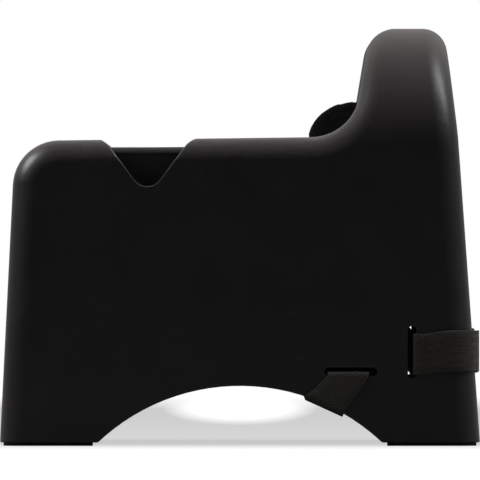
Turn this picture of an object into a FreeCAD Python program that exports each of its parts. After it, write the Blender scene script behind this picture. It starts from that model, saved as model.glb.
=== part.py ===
import FreeCAD, Part

import math
import os

import Sketcher

# A child's booster seat for a dining chair: one moulded shell, four foot pads and three buckled straps.
# Frame: X runs from the front edge (-X) to the back (+X), Y across, Z up, the floor at Z = 0.

SIZES = (
    # alias, millimetres (ratios and angles where the note says so), meaning
    ("overall_width", 356.0, "width of the shell at its foot"),
    ("base_depth", 349.0, "depth of the shell at its foot"),
    ("total_height", 304.2, "top of the backrest"),
    ("pad_height", 2.4, "thickness of the rubber foot pads under the shell"),
    ("wall", 3.5, "wall of the moulding"),
    ("arm_height", 221.6, "top of the arms at the front"),
    ("arm_rise", 3.1, "how much the arms rise towards the back"),
    ("front_lean", 10.8, "how far the front wall leans back at arm height"),
    ("front_round", 34.0, "side-view radius of the arm's front corner"),
    ("back_reach", 82.2, "where the backrest's front edge would meet the arm"),
    ("back_lean", 15.5, "how far the backrest's front edge leans over 100 mm"),
    ("elbow_round", 36.0, "radius between arm and backrest"),
    ("rear_lean_low", 15.9, "lean of the rear wall up to its bend"),
    ("rear_lean_high", 27.4, "lean of the rear wall at the stock's top"),
    ("rear_bend_height", 226.0, "height of the rear wall's bend"),
    ("rear_bend_round", 300.0, "radius of that bend"),
    ("stock_spare", 20.0, "side form above the crown, cut off by the front form"),
    ("side_lean", 13.3, "how far each side wall leans in at the crown"),
    ("crown_round", 95.0, "front-view radius of the backrest's crown"),
    ("edge_round", 18.0, "radius of the outer edges"),
    ("seat_height", 110.0, "seat pan above the floor"),
    ("seat_half_width", 120.0, "half width of the seat at the pan"),
    ("seat_flare", 5.0, "how much each seat side opens towards the top"),
    ("seat_back", 74.0, "where the backrest meets the pan"),
    ("seat_back_lean", 30.0, "how far the backrest leans at the crown"),
    ("seat_corner_round", 58.0, "plan radius of the seat's back corners"),
    ("seat_floor_round", 16.0, "radius between pan and walls"),
    ("rim_round", 14.0, "radius of the seat's rim"),
    ("side_arch_round", 150.0, "radius of the arch in each side wall"),
    ("side_arch_top", 43.5, "top of the side arch"),
    ("end_arch_round", 330.0, "radius of the arch in the front and rear walls"),
    ("end_arch_top", 26.0, "top of those arches"),
    ("grip_depth", 39.2, "depth of the V hand grip in each arm"),
    ("grip_centre", -67.5, "where the grip's flanks would meet, along X"),
    ("grip_low", 180.5, "height where the grip's flanks would meet"),
    ("grip_front", 31.8, "from there forward to the front shoulder"),
    ("grip_rear", 31.8, "from there back to the rear shoulder"),
    ("grip_round", 11.6, "radius of the grip's bottom"),
    ("grip_shoulder", 15.0, "radius of the grip's shoulders"),
    ("web_width", 30.0, "webbing width"),
    ("web_thick", 1.6, "webbing thickness"),
    ("slot_spare", 8.0, "slot length beyond the webbing width"),
    ("slot_gap", 6.0, "slot width"),
    ("chair_slot_x", 125.0, "centre of the chair-back strap's slots, along X"),
    ("chair_slot_z", 68.0, "height of those slots' centres"),
    ("under_slot_x", 80.5, "centre of the under-seat strap's slots, along X"),
    ("under_slot_z", 53.8, "height of those slots"),
    ("waist_slot_y", 84.0, "waist belt's slots from the middle"),
    ("waist_slot_z", 234.5, "height of those slots' centres"),
    ("recess_half_width", 112.0, "half width of the recess in the rear wall"),
    ("recess_low", 40.0, "bottom of that recess"),
    ("recess_high", 97.0, "top of that recess"),
    ("recess_floor", 152.0, "floor of that recess, along X"),
    ("recess_round", 12.0, "corner radius of that recess"),
    ("rib_thick", 2.5, "ribs under the pan"),
    ("rib_depth", 14.0, "how far the ribs hang below the pan"),
    ("rib_pitch", 62.0, "spacing of the ribs"),
    ("foot_leg", 52.0, "length of each leg of a foot's rim"),
    ("foot_width", 13.0, "width of a foot's rim"),
    ("foot_thick", 4.0, "thickness of a foot's rim"),
    ("foot_inset", 1.4, "foot rim inside the outer wall"),
    ("pad_inset", 1.0, "pad inside the foot rim's edge"),
    ("buckle_side", 5.0, "side of a buckle beyond the webbing's edge"),
    ("buckle_thick", 12.0, "thickness of a buckle"),
    ("socket_length", 32.0, "socket from its mouth to its shoulder"),
    ("socket_mouth", 4.0, "mouth of the socket from the buckle's middle"),
    ("tail_length", 9.6, "slotted tail behind the socket"),
    ("bar_width", 3.4, "bars that the webbing turns round"),
    ("bar_thick", 3.6, "thickness of the slotted tails"),
    ("bar_slot", 4.2, "slots in those tails"),
    ("cavity_height", 6.6, "height inside the socket"),
    ("cavity_depth", 28.0, "depth of the socket's cavity"),
    ("part_gap", 0.4, "gap between plug, arms and socket"),
    ("plug_block", 8.0, "length of the plug's solid block"),
    ("prong_length", 21.0, "length of the plug's middle prong"),
    ("prong_half_width", 3.6, "half width of that prong"),
    ("arm_root", 11.0, "release arms' hinge line from the middle"),
    ("arm_thick", 3.4, "thickness of a release arm"),
    ("arm_reach", 20.0, "length of a release arm"),
    ("tab_inset", 1.2, "outer face of a release tab inside the buckle's side"),
    ("keeper_wall", 1.4, "wall of a tail keeper"),
    ("keeper_length", 8.0, "length of a tail keeper along the webbing"),
    ("keeper_place", 44.0, "middle of a keeper from the buckle's middle"),
    ("tail_end", 62.0, "cut end of the webbing's free tail from the buckle's middle"),
    ("fit_gap", 0.25, "gap between webbing and what holds it"),
    ("waist_buckle_x", 42.0, "waist buckle on the pan, along X"),
    ("chair_buckle_x", 163.8, "chair-back buckle in the rear recess, along X"),
    ("chair_web_z", 67.6, "height of the chair-back strap's middle"),
    ("chair_web_sag", 4.5, "how far the chair-back strap waves up and down inside the shell"),
    ("chair_web_lift", 1.2, "how far it runs below its middle at a slot, and above it round the corner"),
    ("under_web_x", 78.5, "middle of the under-seat strap inside the shell, along X"),
    ("under_web_z", 53.2, "height of the under-seat strap inside the shell"),
    ("under_edge_front", 46.6, "front edge of the under-seat strap where it turns under the arch"),
    ("chair_slack", 4.4, "how far the chair-back strap stands off the rear wall"),
)

AXIS_X = FreeCAD.Vector(1, 0, 0)
AXIS_Y = FreeCAD.Vector(0, 1, 0)
AXIS_Z = FreeCAD.Vector(0, 0, 1)
HALF_WIDTH = "sizes.overall_width / 2"
HALF_DEPTH = "sizes.base_depth / 2"
FAR = "sizes.overall_width"


# ---- document, sheet and sketch helpers ----

def make_sheet(doc):
    sheet = doc.addObject("Spreadsheet::Sheet", "sizes")
    for row, (alias, value, note) in enumerate(SIZES, start=1):
        sheet.set(f"A{row}", note)
        sheet.set(f"B{row}", str(value))
        sheet.setAlias(f"B{row}", alias)
    doc.recompute()
    return sheet


def size(doc, alias):
    return float(doc.getObject("sizes").get(alias))


def value_of(obj, expression):
    value = obj.evalExpression(expression)
    return float(getattr(value, "Value", value))


def new_body(doc, label):
    body = doc.addObject("PartDesign::Body", label)
    body.Label = label
    return body


def new_sketch(body, name, role, lift=None):
    """A sketch on one of the body's own origin planes, lifted along the plane's normal."""
    sketch = body.newObject("Sketcher::SketchObject", name)
    plane = [feature for feature in body.Origin.OriginFeatures if feature.Role == role][0]
    sketch.AttachmentSupport = [(plane, "")]
    sketch.MapMode = "FlatFace"
    if lift:
        sketch.setExpression(".AttachmentOffset.Base.z", lift)
    return sketch


def pin_point(sketch, geometry, end, x, y):
    """Holds a point of the sketch at x, y, both expressions of the sheet."""
    for kind, expression, axis in (("DistanceX", x, -2), ("DistanceY", y, -1)):
        value = value_of(sketch, expression)
        if abs(value) < 1e-9:
            sketch.addConstraint(Sketcher.Constraint("PointOnObject", geometry, end, axis))
            continue
        number = sketch.addConstraint(Sketcher.Constraint(kind, -1, 1, geometry, end, value))
        sketch.setExpression(f"Constraints[{number}]", expression)


def corner_arc(before, corner, after, radius):
    """Where a rounding of the corner starts and ends, and its centre."""
    back = (before - corner).normalize()
    forth = (after - corner).normalize()
    half = back.getAngle(forth) / 2
    reach = radius / math.tan(half)
    centre = corner + (back + forth).normalize() * (radius / math.sin(half))
    return corner + back * reach, corner + forth * reach, centre


def add_outline(sketch, corners):
    """A closed outline of straight edges through (x, y) or (x, y, radius) corners, all expressions."""
    points = [FreeCAD.Vector(value_of(sketch, c[0]), value_of(sketch, c[1]), 0) for c in corners]
    count = len(points)
    ends = []
    for i, corner in enumerate(corners):
        if len(corner) > 2:
            radius = value_of(sketch, corner[2])
            ends.append(corner_arc(points[i - 1], points[i], points[(i + 1) % count], radius))
        else:
            ends.append((points[i], points[i], None))
    lines = [sketch.addGeometry(Part.LineSegment(ends[i][1], ends[(i + 1) % count][0])) for i in range(count)]
    for i, corner in enumerate(corners):
        if len(corner) > 2:
            add_rounding(sketch, lines[i - 1], lines[i], points[i], ends[i], corner)
        else:
            sketch.addConstraint(Sketcher.Constraint("Coincident", lines[i - 1], 2, lines[i], 1))
            pin_point(sketch, lines[i], 1, corner[0], corner[1])


def add_rounding(sketch, before, after, apex, ends, corner):
    start, end, centre = ends
    radius = value_of(sketch, corner[2])
    first_angle = math.atan2(start.y - centre.y, start.x - centre.x)
    last_angle = math.atan2(end.y - centre.y, end.x - centre.x)
    circle = Part.Circle(centre, FreeCAD.Vector(0, 0, 1), radius)
    turns_left = (start - centre).cross(end - centre).z > 0
    if turns_left:
        arc = sketch.addGeometry(Part.ArcOfCircle(circle, first_angle, last_angle))
        first, last = 1, 2
    else:
        arc = sketch.addGeometry(Part.ArcOfCircle(circle, last_angle, first_angle))
        first, last = 2, 1
    sketch.addConstraint(Sketcher.Constraint("Tangent", before, 2, arc, first))
    sketch.addConstraint(Sketcher.Constraint("Tangent", arc, last, after, 1))
    number = sketch.addConstraint(Sketcher.Constraint("Radius", arc, radius))
    sketch.setExpression(f"Constraints[{number}]", corner[2])
    point = sketch.addGeometry(Part.Point(apex), True)
    sketch.addConstraint(Sketcher.Constraint("PointOnObject", point, 1, before))
    sketch.addConstraint(Sketcher.Constraint("PointOnObject", point, 1, after))
    pin_point(sketch, point, 1, corner[0], corner[1])


def add_rectangle(sketch, x_low, x_high, y_low, y_high, radius=None):
    corners = [(x_low, y_low), (x_high, y_low), (x_high, y_high), (x_low, y_high)]
    add_outline(sketch, [corner + (radius,) if radius else corner for corner in corners])


def add_circle(sketch, x, y, radius):
    centre = FreeCAD.Vector(value_of(sketch, x), value_of(sketch, y), 0)
    circle = Part.Circle(centre, FreeCAD.Vector(0, 0, 1), value_of(sketch, radius))
    geometry = sketch.addGeometry(circle)
    pin_point(sketch, geometry, 3, x, y)
    number = sketch.addConstraint(Sketcher.Constraint("Radius", geometry, circle.Radius))
    sketch.setExpression(f"Constraints[{number}]", radius)


def add_pad(body, name, sketch, length, midplane=False, backwards=False):
    pad = body.newObject("PartDesign::Pad", name)
    pad.Profile = sketch
    pad.Midplane = midplane
    pad.Reversed = backwards
    pad.setExpression("Length", length)
    body.Document.recompute()
    return pad


def add_pocket(body, name, sketch, length=None, midplane=False, backwards=False):
    """A pocket of the given length, or right through where none is given."""
    pocket = body.newObject("PartDesign::Pocket", name)
    pocket.Profile = sketch
    pocket.Midplane = midplane
    pocket.Reversed = backwards
    if length:
        pocket.setExpression("Length", length)
    else:
        pocket.Type = "ThroughAll"
    before = pocket.BaseFeature.Shape.Volume
    body.Document.recompute()
    if pocket.Shape.Volume > before - 1e-3:
        raise RuntimeError(f"{name} cuts nothing")
    return pocket


def add_fillet(body, name, edges, radius):
    fillet = body.newObject("PartDesign::Fillet", name)
    fillet.Base = (fillet.BaseFeature, edges)
    fillet.setExpression("Radius", radius)
    body.Document.recompute()
    return fillet


def middle(edge):
    return edge.valueAt((edge.FirstParameter + edge.LastParameter) / 2)


def side_normals(shape, edge):
    """The normals of the faces that meet at an edge, at its middle."""
    point = middle(edge)
    normals = []
    for face in shape.ancestorsOfType(edge, Part.Face):
        u, v = face.Surface.parameter(point)
        normals.append(face.normalAt(u, v))
    return normals


def sharp_edges(shape, test):
    """Names of the edges that turn by more than a few degrees and pass the test of their middle."""
    names = []
    for number, edge in enumerate(shape.Edges, start=1):
        normals = side_normals(shape, edge)
        is_sharp = len(normals) == 2 and normals[0].getAngle(normals[1]) > 0.3
        if is_sharp and test(middle(edge)):
            names.append(f"Edge{number}")
    return names


# ---- the moulded shell ----

def seat_form(doc, label, inset, foot):
    """The seat's solid form, drawn in by inset on its outside and let out by it in the seat."""
    body = new_body(doc, label)
    side = new_sketch(body, label + "_side_profile", "XZ_Plane")
    lean = "sizes.back_reach + sizes.back_lean * (sizes.total_height + sizes.stock_spare - sizes.arm_height) / 100"
    stock_top = "sizes.total_height + sizes.stock_spare"
    add_outline(side, [
        (f"-{HALF_DEPTH} + {inset}", foot),
        (f"-{HALF_DEPTH} + sizes.front_lean + {inset}", f"sizes.arm_height - {inset}", f"sizes.front_round - {inset}"),
        (f"sizes.back_reach + {inset}", f"sizes.arm_height + sizes.arm_rise - {inset}", f"sizes.elbow_round + {inset}"),
        (f"{lean} + {inset}", stock_top),
        (f"{HALF_DEPTH} - sizes.rear_lean_high - {inset}", stock_top),
        (f"{HALF_DEPTH} - sizes.rear_lean_low - {inset}", "sizes.rear_bend_height", f"sizes.rear_bend_round - {inset}"),
        (f"{HALF_DEPTH} - {inset}", foot),
    ])
    add_pad(body, label + "_side_form", side, "sizes.overall_width * 1.1", midplane=True)
    front = new_sketch(body, label + "_front_profile", "YZ_Plane")
    add_rectangle(front, f"-{FAR}", FAR, f"-{FAR}", f"2 * {FAR}")
    add_outline(front, [
        (f"-{HALF_WIDTH} + {inset}", "-sizes.stock_spare"),
        (f"{HALF_WIDTH} - {inset}", "-sizes.stock_spare"),
        (f"{HALF_WIDTH} - sizes.side_lean - {inset}", f"sizes.total_height - {inset}", f"sizes.crown_round - {inset}"),
        (f"-{HALF_WIDTH} + sizes.side_lean + {inset}", f"sizes.total_height - {inset}", f"sizes.crown_round - {inset}"),
    ])
    cut = add_pocket(body, label + "_front_form", front, midplane=True)
    names = []
    for number, edge in enumerate(cut.Shape.Edges, start=1):
        normals = side_normals(cut.Shape, edge)
        across = [abs(normal.y) > 1e-6 for normal in normals]
        along = [abs(normal.x) > 1e-6 for normal in normals]
        is_chain = across[0] != across[1] or along[0] != along[1]
        is_base = middle(edge).z < value_of(side, foot) + 1
        if is_chain and not is_base and normals[0].getAngle(normals[1]) > 0.3:
            names.append(f"Edge{number}")
    add_fillet(body, label + "_outer_edges", names, f"sizes.edge_round - {inset}")
    cut_bucket(body, label, inset)
    round_rim(body, label, inset)
    cut_grips(body, label, inset)
    cut_recess(body, label, inset)
    return body


def cut_bucket(body, label, inset):
    floor = new_sketch(body, label + "_pan_outline", "XY_Plane", f"sizes.seat_height - {inset}")
    mouth = new_sketch(body, label + "_mouth_outline", "XY_Plane", "sizes.total_height + sizes.stock_spare")
    flared = "sizes.seat_half_width + sizes.seat_flare"
    leaned = "sizes.seat_back + sizes.seat_back_lean"
    for sketch, half, back in ((floor, "sizes.seat_half_width", "sizes.seat_back"), (mouth, flared, leaned)):
        add_outline(sketch, [
            ("-sizes.base_depth", f"-({half}) - {inset}"),
            (f"{back} + {inset}", f"-({half}) - {inset}", f"sizes.seat_corner_round + {inset}"),
            (f"{back} + {inset}", f"{half} + {inset}", f"sizes.seat_corner_round + {inset}"),
            ("-sizes.base_depth", f"{half} + {inset}"),
        ])
    loft = body.newObject("PartDesign::SubtractiveLoft", label + "_bucket")
    loft.Profile = floor
    loft.Sections = [mouth]
    loft.Ruled = True
    body.Document.recompute()
    pan = value_of(floor, f"sizes.seat_height - {inset}")
    front = -value_of(floor, HALF_DEPTH) * 0.9
    names = sharp_edges(loft.Shape, lambda m: abs(m.z - pan) < 0.01 and m.x > front)
    add_fillet(body, label + "_pan_edges", names, f"sizes.seat_floor_round + {inset}")


def round_rim(body, label, inset):
    """The seat's rim, one chain over the arms, round the backrest and under the pan's front edge."""
    shape = body.Tip.Shape
    inside = value_of(body.Tip, f"sizes.seat_half_width + sizes.seat_flare + {inset}") + 1
    pan_zone = value_of(body.Tip, "sizes.seat_height / 2")
    names = sharp_edges(shape, lambda m: m.z > pan_zone and abs(m.y) < inside)
    add_fillet(body, label + "_rim", names, f"sizes.rim_round - {inset}")


def cut_grips(body, label, inset):
    """The V hand grip in the outer part of each arm, and its mirror image."""
    for side in (-1, 1):
        lift = f"{-side} * ({HALF_WIDTH} - sizes.side_lean * 0.7 - sizes.grip_depth - {inset})"
        grip = new_sketch(body, f"{label}_grip_{side + 2}", "XZ_Plane", lift)
        top = f"sizes.arm_height + sizes.arm_rise / 2 + 0.3 - {inset}"
        add_outline(grip, [
            ("sizes.grip_centre - sizes.grip_front * 1.8", top),
            (f"sizes.grip_centre - sizes.grip_front - 1.7 * {inset}", top, f"sizes.grip_shoulder - {inset}"),
            ("sizes.grip_centre", f"sizes.grip_low - 1.7 * {inset}", f"sizes.grip_round + {inset}"),
            (f"sizes.grip_centre + sizes.grip_rear + 1.7 * {inset}", top, f"sizes.grip_shoulder - {inset}"),
            ("sizes.grip_centre + sizes.grip_rear * 1.8", f"{top} + 1"),
            ("sizes.grip_centre + sizes.grip_rear * 1.8", "sizes.arm_height * 1.2"),
            ("sizes.grip_centre - sizes.grip_front * 1.8", "sizes.arm_height * 1.2"),
        ])
        add_pocket(body, f"{label}_grip_cut_{side + 2}", grip, backwards=side < 0)


def cut_recess(body, label, inset):
    recess = new_sketch(body, label + "_recess", "YZ_Plane", f"sizes.recess_floor - {inset}")
    half = f"sizes.recess_half_width + {inset}"
    add_rectangle(recess, f"-({half})", half, f"sizes.recess_low - {inset}", f"sizes.recess_high + {inset}",
                  f"sizes.recess_round + {inset}")
    add_pocket(body, label + "_recess_cut", recess, backwards=True)


def cut_arches(body):
    side = new_sketch(body, "side_arch", "XZ_Plane")
    add_circle(side, "0", "sizes.side_arch_top - sizes.side_arch_round", "sizes.side_arch_round")
    add_pocket(body, "side_arches", side, midplane=True)
    end = new_sketch(body, "end_arch", "YZ_Plane")
    add_circle(end, "0", "sizes.end_arch_top - sizes.end_arch_round", "sizes.end_arch_round")
    add_pocket(body, "end_arches", end, midplane=True)


def cut_slots(body):
    """Rounded slots: two in each side wall and two in the backrest."""
    long_half = "(sizes.web_width + sizes.slot_spare) / 2"
    gap_half = "sizes.slot_gap / 2"
    end = f"{gap_half} - 0.01"
    side = new_sketch(body, "side_slots", "XZ_Plane")
    add_rectangle(side, f"sizes.chair_slot_x - {gap_half}", f"sizes.chair_slot_x + {gap_half}",
                  f"sizes.chair_slot_z - {long_half}", f"sizes.chair_slot_z + {long_half}", end)
    add_rectangle(side, f"sizes.under_slot_x - {long_half}", f"sizes.under_slot_x + {long_half}",
                  f"sizes.under_slot_z - {gap_half}", f"sizes.under_slot_z + {gap_half}", end)
    add_pocket(body, "side_slot_cuts", side, midplane=True)
    back = new_sketch(body, "waist_slots", "YZ_Plane", "sizes.seat_back - sizes.seat_back_lean")
    for side_sign in ("-", ""):
        centre = f"{side_sign}sizes.waist_slot_y"
        add_rectangle(back, f"{centre} - {gap_half}", f"{centre} + {gap_half}",
                      f"sizes.waist_slot_z - {long_half}", f"sizes.waist_slot_z + {long_half}", end)
    add_pocket(body, "waist_slot_cuts", back, "sizes.seat_back_lean * 2", backwards=True)


def foot_corners(inset, x_side, y_side, height):
    """An L in plan round one corner of the shell, inset from its outer walls."""
    x_out = f"{x_side} * ({HALF_DEPTH} - {height} * sizes.rear_lean_low / sizes.rear_bend_height - {inset})"
    y_out = f"{y_side} * ({HALF_WIDTH} - (sizes.stock_spare + {height}) * sizes.side_lean / sizes.total_height - {inset})"
    x_end = f"{x_side} * ({HALF_DEPTH} - sizes.foot_leg - sizes.edge_round + {inset})"
    y_end = f"{y_side} * ({HALF_WIDTH} - sizes.foot_leg - sizes.edge_round + {inset})"
    x_in = f"{x_side} * ({HALF_DEPTH} - sizes.foot_width - sizes.foot_inset + {inset} - sizes.foot_inset)"
    y_in = f"{y_side} * ({HALF_WIDTH} - sizes.foot_width - sizes.foot_inset + {inset} - sizes.foot_inset)"
    outer_round = f"sizes.edge_round - {inset}"
    inner_round = f"sizes.edge_round / 3 + {inset}"
    return [(x_end, y_out), (x_out, y_out, outer_round), (x_out, y_end), (x_in, y_end), (x_in, y_in, inner_round),
            (x_end, y_in)]


def add_feet(body):
    rims = new_sketch(body, "foot_rims", "XY_Plane", "sizes.pad_height")
    for x_side in (-1, 1):
        for y_side in (-1, 1):
            add_outline(rims, foot_corners("sizes.foot_inset", x_side, y_side, "sizes.foot_thick"))
    add_pad(body, "foot_rim_plates", rims, "sizes.foot_thick")


def add_ribs(body):
    """Ribs under the pan, lengthwise and across, run into the walls of the seat."""
    ribs = new_sketch(body, "pan_ribs", "XY_Plane", "sizes.seat_height - sizes.wall / 2")
    half = "sizes.rib_thick / 2"
    front = f"-{HALF_DEPTH} + sizes.front_lean + sizes.wall / 2"
    for place in ("-sizes.rib_pitch", "0", "sizes.rib_pitch"):
        add_rectangle(ribs, front, "sizes.seat_back", f"{place} - {half}", f"{place} + {half}")
    add_pad(body, "lengthwise_ribs", ribs, "sizes.rib_depth", backwards=True)
    cross = new_sketch(body, "cross_ribs", "XY_Plane", "sizes.seat_height - sizes.wall / 2")
    for place in ("-sizes.rib_pitch * 1.5", "-sizes.rib_pitch * 0.5", "sizes.rib_pitch * 0.5"):
        add_rectangle(cross, f"{place} - {half}", f"{place} + {half}", "-sizes.seat_half_width",
                      "sizes.seat_half_width")
    add_pad(body, "crosswise_ribs", cross, "sizes.rib_depth", backwards=True)


def make_shell(doc):
    shell = seat_form(doc, "seat_shell", "0", "sizes.pad_height")
    core = seat_form(doc, "hollow_core", "sizes.wall", "-sizes.stock_spare")
    hollow = shell.newObject("PartDesign::Boolean", "hollow")
    hollow.Type = "Cut"
    hollow.setObjects([core])
    doc.recompute()
    cut_arches(shell)
    cut_slots(shell)
    add_feet(shell)
    add_ribs(shell)
    return shell


def make_pads(doc):
    pads = []
    for x_side, end in ((-1, "front"), (1, "rear")):
        for y_side, hand in ((-1, "right"), (1, "left")):
            body = new_body(doc, f"{end}_{hand}_foot_pad")
            sketch = new_sketch(body, body.Label + "_outline", "XY_Plane")
            add_outline(sketch, foot_corners("(sizes.foot_inset + sizes.pad_inset)", x_side, y_side, "sizes.pad_height"))
            add_pad(body, body.Label + "_slab", sketch, "sizes.pad_height")
            pads.append(body)
    return pads


# ---- buckles: local X runs from the socket to the plug, local Y across, local Z through the thickness ----

# where each strap's buckle sits, and the direction of its thickness
LOADED_DROP = "(sizes.bar_thick / 2 + sizes.fit_gap * 2 + sizes.web_thick * 1.5)"
BUCKLE_PLACES = {
    "waist": ("sizes.waist_buckle_x", "0",
              f"sizes.seat_height + sizes.keeper_wall + sizes.fit_gap * 2 + sizes.web_thick / 2 + {LOADED_DROP}",
              AXIS_Z),
    "chair_back": ("sizes.chair_buckle_x", "0", "sizes.chair_web_z", AXIS_X),
    "under_seat": ("sizes.under_web_x", "0", "sizes.under_web_z", AXIS_Z),
}
SOCKET_BACK = "(sizes.socket_mouth - sizes.socket_length)"
BLOCK_START = "(sizes.socket_mouth + sizes.part_gap)"
BLOCK_END = f"({BLOCK_START} + sizes.plug_block)"
PLUG_SLOTS = (f"({BLOCK_END} + sizes.bar_width * 0.8)",
              f"({BLOCK_END} + sizes.bar_width * 1.8 + sizes.bar_slot)")
BUCKLE_HALF = "(sizes.web_width / 2 + sizes.buckle_side)"
TAIL_HALF = f"({BUCKLE_HALF} - sizes.arm_thick / 2)"
WEB_HALF = "(sizes.web_width / 2 + sizes.fit_gap * 2)"
ARM_HALF_HEIGHT = "(sizes.cavity_height / 2 - sizes.part_gap)"


def place_buckle_part(body, strap):
    x, y, z, through = BUCKLE_PLACES[strap]
    body.Placement.Rotation = FreeCAD.Rotation(AXIS_Y, through.cross(AXIS_Y), through, "XZY")
    for axis, expression in (("x", x), ("y", y), ("z", z)):
        body.setExpression(f".Placement.Base.{axis}", expression)


def make_socket(doc, strap):
    body = new_body(doc, f"{strap}_buckle_socket")
    name = body.Label
    case = new_sketch(body, name + "_case", "XY_Plane")
    half = BUCKLE_HALF
    add_outline(case, [
        (SOCKET_BACK, f"-{half} + 3", "2"), ("sizes.socket_mouth - 10", f"-{half}", "20"),
        ("sizes.socket_mouth", f"-{half}", "1.5"), ("sizes.socket_mouth", half, "1.5"),
        ("sizes.socket_mouth - 10", half, "20"), (SOCKET_BACK, f"{half} - 3", "2"),
    ])
    block = add_pad(body, name + "_case_pad", case, "sizes.buckle_thick", midplane=True)
    half_thick = value_of(block, "sizes.buckle_thick / 2")
    rims = [f"Edge{i}" for i, edge in enumerate(block.Shape.Edges, start=1)
            if abs(abs(middle(edge).z) - half_thick) < 0.01]
    add_fillet(body, name + "_case_edges", rims, "1.6")
    tail = new_sketch(body, name + "_tail", "XY_Plane")
    add_rectangle(tail, f"{SOCKET_BACK} - sizes.tail_length", f"{SOCKET_BACK} + 4", f"-{TAIL_HALF}", TAIL_HALF, "1.5")
    add_pad(body, name + "_tail_pad", tail, "sizes.bar_thick", midplane=True)
    slot = new_sketch(body, name + "_slot", "XY_Plane")
    start = f"{SOCKET_BACK} - sizes.tail_length + sizes.bar_width"
    add_rectangle(slot, start, f"{start} + sizes.bar_slot", f"-{WEB_HALF}", WEB_HALF, "1")
    add_pocket(body, name + "_slot_cut", slot, midplane=True)
    cavity = new_sketch(body, name + "_cavity", "XY_Plane")
    inner = f"-({half} - sizes.arm_thick)"
    add_rectangle(cavity, "sizes.socket_mouth - sizes.cavity_depth", "sizes.socket_mouth + 5", inner,
                  f"{half} - sizes.arm_thick")
    add_pocket(body, name + "_cavity_cut", cavity, "sizes.cavity_height", midplane=True)
    sides = new_sketch(body, name + "_sides", "XY_Plane")
    add_rectangle(sides, "sizes.socket_mouth - sizes.arm_reach - 3", "sizes.socket_mouth + 5", f"-{half} * 2",
                  f"{half} * 2")
    add_pocket(body, name + "_side_cut", sides, "sizes.cavity_height", midplane=True)
    bites = new_sketch(body, name + "_finger_bites", "XY_Plane")
    for sign in ("-", ""):
        add_circle(bites, "sizes.socket_mouth - sizes.arm_reach * 0.66", f"{sign}({half} + 4.5)", "9")
    add_pocket(body, name + "_bite_cut", bites, midplane=True)
    place_buckle_part(body, strap)
    return body


def make_plug(doc, strap):
    body = new_body(doc, f"{strap}_buckle_plug")
    name = body.Label
    half = BUCKLE_HALF
    block = new_sketch(body, name + "_block", "XY_Plane")
    add_rectangle(block, BLOCK_START, BLOCK_END, f"-{half}", half, "2")
    pad = add_pad(body, name + "_block_pad", block, "sizes.buckle_thick - 1", midplane=True)
    half_thick = value_of(pad, "(sizes.buckle_thick - 1) / 2")
    rims = [f"Edge{i}" for i, edge in enumerate(pad.Shape.Edges, start=1)
            if abs(abs(middle(edge).z) - half_thick) < 0.01]
    add_fillet(body, name + "_block_edges", rims, "1.4")
    tail = new_sketch(body, name + "_tail", "XY_Plane")
    tail_end = f"{PLUG_SLOTS[1]} + sizes.bar_slot + sizes.bar_width"
    add_rectangle(tail, f"{BLOCK_END} - 3", tail_end, f"-{TAIL_HALF}", TAIL_HALF, "1.5")
    add_pad(body, name + "_tail_pad", tail, "sizes.bar_thick", midplane=True)
    slots = new_sketch(body, name + "_slots", "XY_Plane")
    for start in PLUG_SLOTS:
        add_rectangle(slots, start, f"{start} + sizes.bar_slot", f"-{WEB_HALF}", WEB_HALF, "1")
    add_pocket(body, name + "_slot_cut", slots, midplane=True)
    prong = new_sketch(body, name + "_prong", "XY_Plane")
    add_rectangle(prong, f"{BLOCK_START} - sizes.prong_length", f"{BLOCK_START} + 3", "-sizes.prong_half_width",
                  "sizes.prong_half_width", "1.2")
    add_pad(body, name + "_prong_pad", prong, f"2 * {ARM_HALF_HEIGHT}", midplane=True)
    place_buckle_part(body, strap)
    return body


def make_release_arm(doc, strap, hand, sign):
    """One of the plug's two spring arms, with the tab that shows in the socket's side."""
    body = new_body(doc, f"{strap}_{hand}_release_arm")
    sketch = new_sketch(body, body.Label + "_outline", "XY_Plane")
    root = f"({BLOCK_START} - sizes.part_gap)"
    tip = f"({root} - sizes.arm_reach)"
    near = f"{sign} * (sizes.arm_root - sizes.arm_thick / 2)"
    far = f"{sign} * (sizes.arm_root + sizes.arm_thick / 2)"
    add_outline(sketch, [
        (root, near, "0.8"), (root, far, "0.8"), (f"{root} - sizes.arm_reach * 0.35", f"{far} + {sign} * 0.6", "3"),
        (f"{root} - sizes.arm_reach * 0.5", f"{sign} * ({BUCKLE_HALF} - sizes.tab_inset)", "2.5"),
        (f"{root} - sizes.arm_reach * 0.85", f"{sign} * ({BUCKLE_HALF} - sizes.tab_inset)", "2.5"),
        (tip, f"{far} + {sign} * 1.5", "1"), (tip, f"{near} + {sign} * 1.5", "1"),
        (f"{root} - sizes.arm_reach * 0.5", f"{near} + {sign} * 0.8", "8"),
    ])
    add_pad(body, body.Label + "_pad", sketch, f"2 * {ARM_HALF_HEIGHT}", midplane=True)
    place_buckle_part(body, strap)
    return body


def make_keeper(doc, strap):
    """A flat ring that slides on the webbing and holds its free tail down."""
    body = new_body(doc, f"{strap}_tail_keeper")
    half_width = "(sizes.web_width / 2 + sizes.fit_gap)"
    half_height = "(sizes.web_thick + sizes.fit_gap * 1.5)"
    ring = new_sketch(body, body.Label + "_ring", "YZ_Plane", "sizes.keeper_place - sizes.keeper_length / 2")
    middle_height = "(sizes.bar_thick / 2 + sizes.fit_gap * 1.5 + sizes.web_thick)"
    for grow, rounding in (("sizes.keeper_wall", "1.2"), ("0", "0.3")):
        add_rectangle(ring, f"-{half_width} - {grow}", f"{half_width} + {grow}",
                      f"-{middle_height} - {half_height} - {grow}", f"-{middle_height} + {half_height} + {grow}", rounding)
    add_pad(body, body.Label + "_pad", ring, "sizes.keeper_length")
    place_buckle_part(body, strap)
    return body


# ---- webbing: flat strips of plane facets, built on sections that stand on their routes ----

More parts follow.
